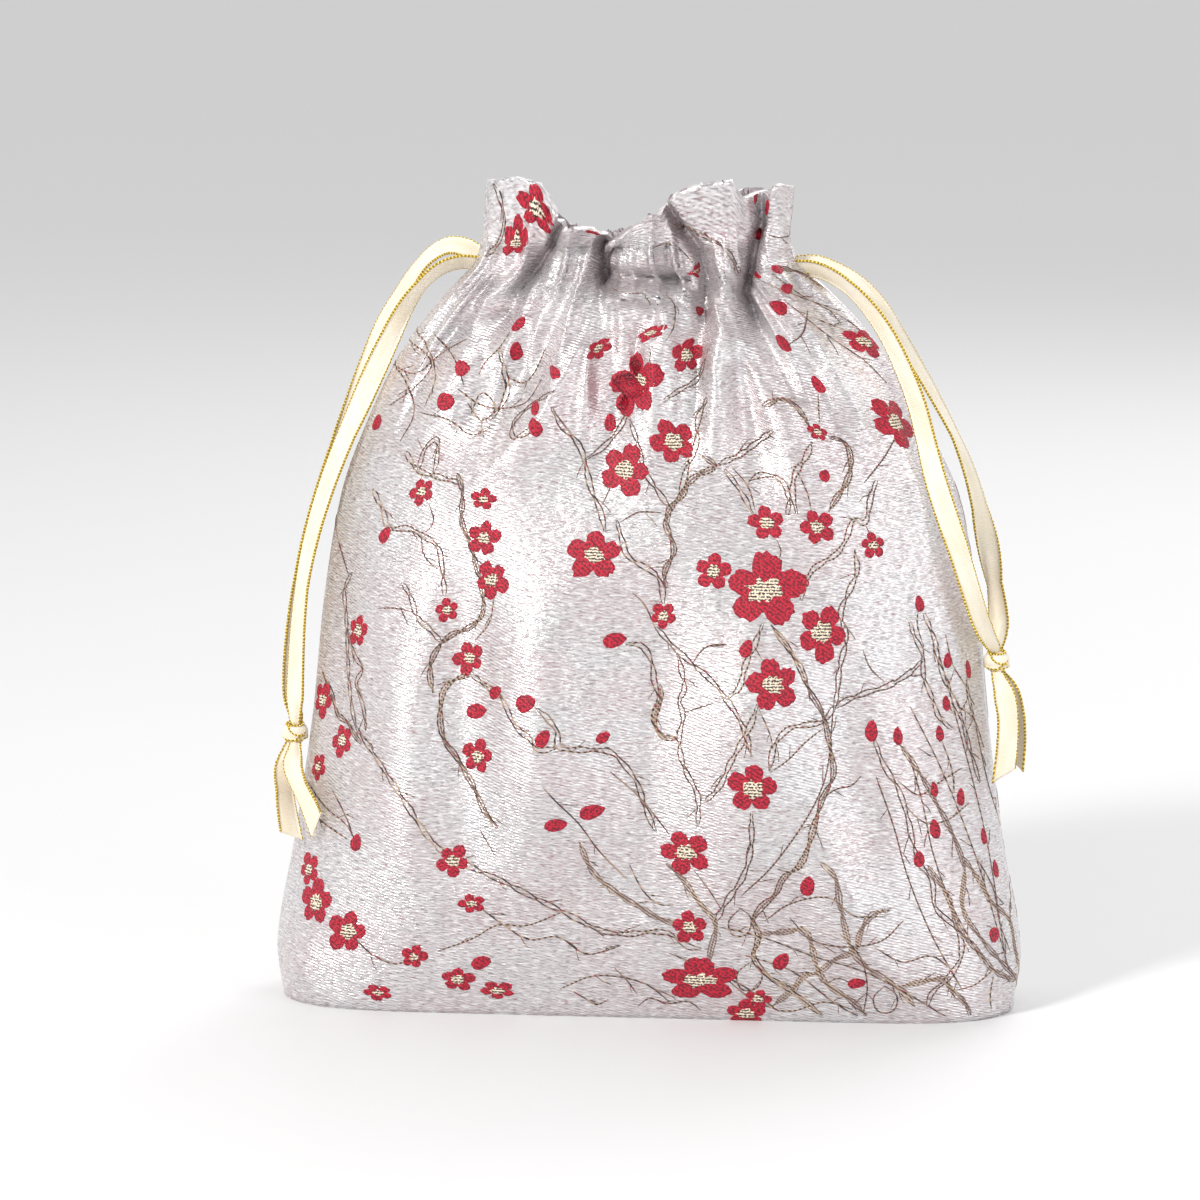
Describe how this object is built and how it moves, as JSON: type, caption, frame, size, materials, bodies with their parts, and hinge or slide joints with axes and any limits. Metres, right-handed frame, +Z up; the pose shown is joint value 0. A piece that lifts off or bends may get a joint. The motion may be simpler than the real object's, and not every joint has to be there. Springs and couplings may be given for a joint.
{
  "type": "kinchaku drawstring pouch",
  "caption": "Filled drawstring pouch in floral brocade, gathered at the neck by knotted satin ribbons, with a frilled mouth and flat base.",
  "frame": {"origin": "middle of the base, on the surface that the pouch stands on", "axes": "+Z up from the base to the mouth; +X to the right and -Y out of the front, as the pouch is looked at from the front"},
  "size_m": [0.2148, 0.084, 0.236],
  "materials": {
    "brocade": "satin",
    "ribbon": "satin"
  },
  "bodies": {
    "root": {"front_panel": "brocade", "back_panel": "brocade", "left_ribbon_front": "ribbon", "left_ribbon_back": "ribbon", "left_knot": "ribbon", "left_tail_front": "ribbon", "left_tail_back": "ribbon", "right_ribbon_front": "ribbon", "right_ribbon_back": "ribbon", "right_knot": "ribbon", "right_tail_front": "ribbon", "right_tail_back": "ribbon"}
  },
  "joints": []
}
